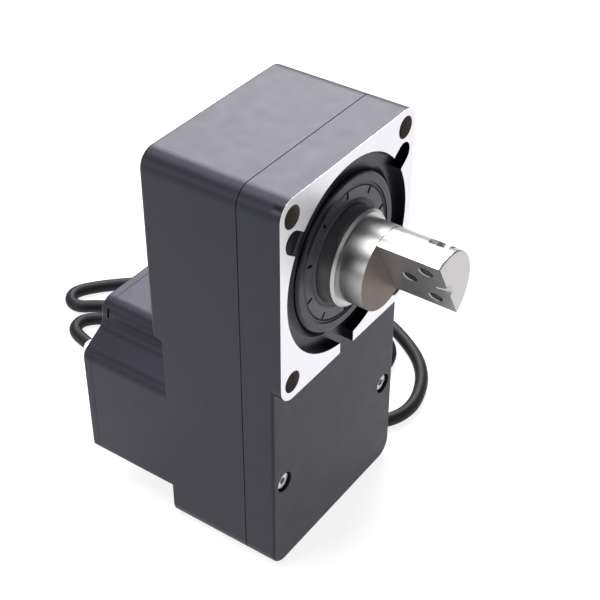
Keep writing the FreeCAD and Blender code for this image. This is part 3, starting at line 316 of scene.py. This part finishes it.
def winding():
    """Enamelled copper wire laid side by side around each tooth."""
    base = (0.72, 0.28, 0.09)
    finish = Finish("winding", base, 0.32, 0.9)
    x, y, z = finish.axes()
    radius = finish.around(x, finish.math("SUBTRACT", z, MOTOR_AXIS))
    wires = finish.math("SINE", finish.math("MULTIPLY", radius, 2 * math.pi / WIRE_PITCH))
    # the copper darkens to a third of its colour in the grooves between wires: painted shade
    finish.set("Base Color", finish.blend(finish.spread(wires, 0, 1, (-1, 1)), shade(base, 0.35), base))
    finish.set("Roughness", finish.spread(finish.noise(300, 2), 0.24, 0.42))
    finish.set("Normal", finish.bump(wires, 0.7, 0.0002))
    return finish.material


def circuit_board():
    """Green solder mask with paler copper tracks in rings under it."""
    base = (0.015, 0.13, 0.05)
    finish = Finish("circuit_board", base, 0.35)
    x, y, z = finish.axes()
    radius = finish.around(x, finish.math("SUBTRACT", z, MOTOR_AXIS))
    ripple = finish.math("SINE", finish.math("MULTIPLY", radius, TRACK_RINGS))
    tracks = finish.math("GREATER_THAN", ripple, 0.55)
    broken = finish.math("GREATER_THAN", finish.noise(140, 2), 0.48)
    copper = finish.math("MULTIPLY", tracks, broken)
    finish.set("Base Color", finish.blend(copper, base, (0.06, 0.27, 0.09)))
    finish.set("Roughness", finish.spread(finish.noise(90, 2), 0.28, 0.42))
    finish.set("Normal", finish.bump(copper, 0.3, 0.00004))
    return finish.material


def dark_moulding(name, base, low, high, grain=1900, strength=0.14):
    """Black plastic, rubber or fibre with a fine skin and slight dust."""
    finish = Finish(name, base, (low + high) / 2)
    finish.set("Specular IOR Level", 0.28)
    finish.set("Base Color", finish.blend(finish.noise(75, 4), shade(base, 0.75), shade(base, 1.5)))
    finish.set("Roughness", finish.spread(finish.noise(240, 3), low, high))
    finish.set("Normal", finish.bump(finish.noise(grain, 2), strength, 0.00005))
    return finish.material


def dress(material, *names):
    """Give carried-over nodes one material."""
    for name in names:
        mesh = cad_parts[name].data
        mesh.materials.clear()
        mesh.materials.append(material)


def names_with(*words):
    return [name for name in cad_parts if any(word in name for word in words)]


def dress_all():
    dress(powder_coat("powder_coat"), "rear_housing", "motor_rear_cover")
    dress(powder_coat("powder_coat_and_pad", with_pad=True), "front_shell")
    dress(shaft_steel(), "output_shaft")
    dress(seal_rubber(), "output_oil_seal")
    dress(bright_screw("front_screw_steel", knurled=False), "front_screws")
    dress(bright_screw("cover_screw_steel", knurled=True), "cover_screws")
    dress(dark_moulding("gasket_fibre", (0.012, 0.012, 0.013), 0.6, 0.8), "housing_gasket", "cover_gasket")
    rings = metal("bearing_rings", (0.70, 0.70, 0.71), 0.16, 900, (1, 6, 1))
    dress(rings, *names_with("_outer", "_inner"))
    dress(metal("bearing_balls", (0.78, 0.78, 0.79), 0.07, 300, strength=0.02), *names_with("_balls"))
    springs = ["wave_washer", "front_bearing_snap_ring", "output_gear_snap_ring"]
    dress(metal("spring_steel", (0.30, 0.29, 0.29), 0.30, 800), *springs)
    dress(metal("dowel_steel", (0.62, 0.61, 0.60), 0.18, 1200, (1, 0.1, 1)), "dowel_pins")
    gears = ["output_gear", "second_gear", "first_gear", "second_shaft", "first_shaft", "rotor_shaft"]
    dress(metal("gear_steel", (0.47, 0.46, 0.45), 0.30, 700, (1, 0.15, 1), 0.2), *gears)
    dress(metal("key_steel", (0.50, 0.50, 0.50), 0.34, 900, (1, 0.2, 1)), "output_key", "second_gear_key")
    dress(laminations(), "stator_core", "rotor_core")
    dress(metal("magnet_ferrite", (0.16, 0.16, 0.17), 0.42, 500), "rotor_magnets")
    dress(winding(), "stator_coils")
    dress(circuit_board(), "sensor_board")
    dress(dark_moulding("gland_nylon", (0.016, 0.016, 0.018), 0.38, 0.52), "cable_gland", "cable_connector")
    dress(dark_moulding("relief_rubber", (0.013, 0.013, 0.014), 0.45, 0.62), "strain_relief")
    dress(metal("contact_brass", (0.83, 0.62, 0.27), 0.22, 900), "connector_pins")


# ---------------------------------------------------------------------------------------------
# Cable
# ---------------------------------------------------------------------------------------------

# The cable's route in millimetres. A height of LIE is the height of its centre on the floor.
LIE = -132.8
CABLE_ROUTE = [
    # out of the strain relief and down behind the motor
    (24, 127, -106), (24, 141.5, -106), (31, 155.5, -112), (46, 160, -118.5), (61, 154, -125),
    (74, 143, -130.5), (87.5, 129, LIE), (99, 111.5, LIE), (107, 91, LIE), (109.5, 69, LIE),
    # inner loop beside the gearbox
    (109, 49, LIE), (103.6, 39.7, LIE), (94.4, 34.4, LIE), (83.6, 34.4, LIE), (74.4, 39.7, LIE),
    (69, 49, LIE), (69.5, 62.5, LIE), (71, 78, LIE), (69.5, 93, LIE), (63.5, 107.5, LIE),
    (58.5, 121.5, LIE), (56, 136, LIE), (55, 150.5, LIE), (52.5, 164, LIE), (49, 173.5, LIE),
    # far fold behind the motor
    (44.5, 181, LIE), (39.2, 187.2, LIE), (39.2, 192.7, LIE), (42.8, 196.9, LIE),
    (48.2, 197.6, LIE), (56.2, 192.4, LIE), (66.2, 182.9, LIE), (76.8, 170.4, LIE),
    # outer loop beside the gearbox
    (86.5, 157.5, LIE), (96.6, 143.4, LIE), (105.8, 129.2, LIE), (114.2, 113.4, LIE),
    (120.5, 97, LIE), (122.5, 80, LIE), (122, 64.5, LIE), (118.5, 49.5, LIE), (112, 36.5, LIE),
    (104, 24.5, LIE), (94.5, 16, LIE), (84, 10.8, LIE), (73, 8, LIE), (63.3, 9, LIE),
    (55, 13.6, LIE), (49.8, 21.3, LIE), (47.8, 32.5, LIE), (48.8, 46, LIE), (52.5, 60.5, LIE),
    (57.5, 75, LIE), (59.5, 90, LIE), (56, 104.5, LIE), (45.5, 113, LIE), (32, 118, LIE),
    (21.5, 127.5, LIE), (17.5, 140.5, LIE), (17.5, 153.5, LIE), (19.5, 165, LIE),
    # near fold behind the motor, then the connector
    (22.3, 175.3, LIE), (26.8, 178.5, LIE), (32.3, 178.2, LIE), (38.2, 172.4, LIE),
    (41, 165.4, LIE), (41.6, 157.8, LIE),
]
CABLE_RADIUS = 3.2 * MM


def cable():
    curve = bpy.data.curves.new("cable_jacket", "CURVE")
    curve.dimensions = "3D"
    curve.bevel_depth = CABLE_RADIUS
    curve.bevel_resolution = 6
    curve.resolution_u = 8
    curve.use_fill_caps = True
    spline = curve.splines.new("NURBS")
    spline.points.add(len(CABLE_ROUTE) - 1)
    for point, place in zip(spline.points, CABLE_ROUTE):
        point.co = (*(value * MM for value in place), 1)
    spline.order_u = 3
    spline.use_endpoint_u = True
    curve.materials.append(dark_moulding("cable_pvc", (0.008, 0.008, 0.011), 0.48, 0.60, 1200, 0.10))
    piece = bpy.data.objects.new("cable_jacket", curve)
    bpy.context.scene.collection.objects.link(piece)
    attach(piece, "housing")
    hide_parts("cable")


# ---------------------------------------------------------------------------------------------
# Studio
# ---------------------------------------------------------------------------------------------

def studio_floor():
    half = 6.0
    corners = [(-half, -half, FLOOR), (half, -half, FLOOR), (half, half, FLOOR), (-half, half, FLOOR)]
    mesh = bpy.data.meshes.new("studio_floor")
    mesh.from_pydata(corners, [], [(0, 1, 2, 3)])
    finish = Finish("studio_paper", (0.30, 0.30, 0.30), 0.9)
    finish.set("Base Color", finish.blend(finish.noise(9, 2), (0.29, 0.29, 0.29), (0.31, 0.31, 0.31)))
    finish.set("Emission Color", (1, 1, 1, 1))
    finish.set("Emission Strength", 0.84)
    mesh.materials.append(finish.material)
    piece = bpy.data.objects.new("studio_floor", mesh)
    bpy.context.scene.collection.objects.link(piece)


def softbox(name, place, aim, width, height, power):
    """A rectangular soft light that faces a point."""
    lamp = bpy.data.lights.new(name, "AREA")
    lamp.shape = "RECTANGLE"
    lamp.size = width
    lamp.size_y = height
    lamp.energy = power
    piece = bpy.data.objects.new(name, lamp)
    piece.location = place
    piece.rotation_euler = (Vector(aim) - Vector(place)).to_track_quat("-Z", "Y").to_euler()
    bpy.context.scene.collection.objects.link(piece)


def lights():
    centre = (0, 0.03, -0.05)
    softbox("top_back_box", (0.75, 0.50, 0.75), centre, 0.72, 0.58, 19)
    softbox("overhead_box", (-0.25, 0.45, 1.2), centre, 0.9, 0.45, 12)
    softbox("left_back_box", (-0.95, 0.55, 0.42), centre, 0.5, 0.5, 3.5)
    softbox("front_box", (0.25, -1.2, 0.45), centre, 0.8, 0.6, 1.2)
    softbox("hole_box", (-0.6, -1.1, 0.7), centre, 0.3, 0.3, 1.0)
    world = bpy.data.worlds.new("studio")
    bpy.context.scene.world = world
    world.use_nodes = True
    backdrop = world.node_tree.nodes["Background"]
    backdrop.inputs["Color"].default_value = (0.9, 0.92, 1.0, 1)
    backdrop.inputs["Strength"].default_value = 0.16


def camera():
    """The photograph's view: a long lens from the front left, looking down."""
    data = bpy.data.cameras.new("view")
    data.sensor_width = 36
    data.lens = 81.35
    data.clip_start = 0.01
    piece = bpy.data.objects.new("view", data)
    heading = Matrix.Rotation(math.radians(-55.16), 4, "Z")
    tilt = Matrix.Rotation(math.radians(90 - 37.41), 4, "X")
    roll = Matrix.Rotation(math.radians(0.17), 4, "Z")
    place = Matrix.Translation((-0.34849, -0.22028, 0.29344))
    piece.matrix_world = place @ heading @ tilt @ roll
    bpy.context.scene.collection.objects.link(piece)
    bpy.context.scene.camera = piece


def main():
    camera()
    cable()
    studio_floor()
    lights()
    dress_all()
    bpy.context.scene.view_settings.view_transform = "Standard"


main()
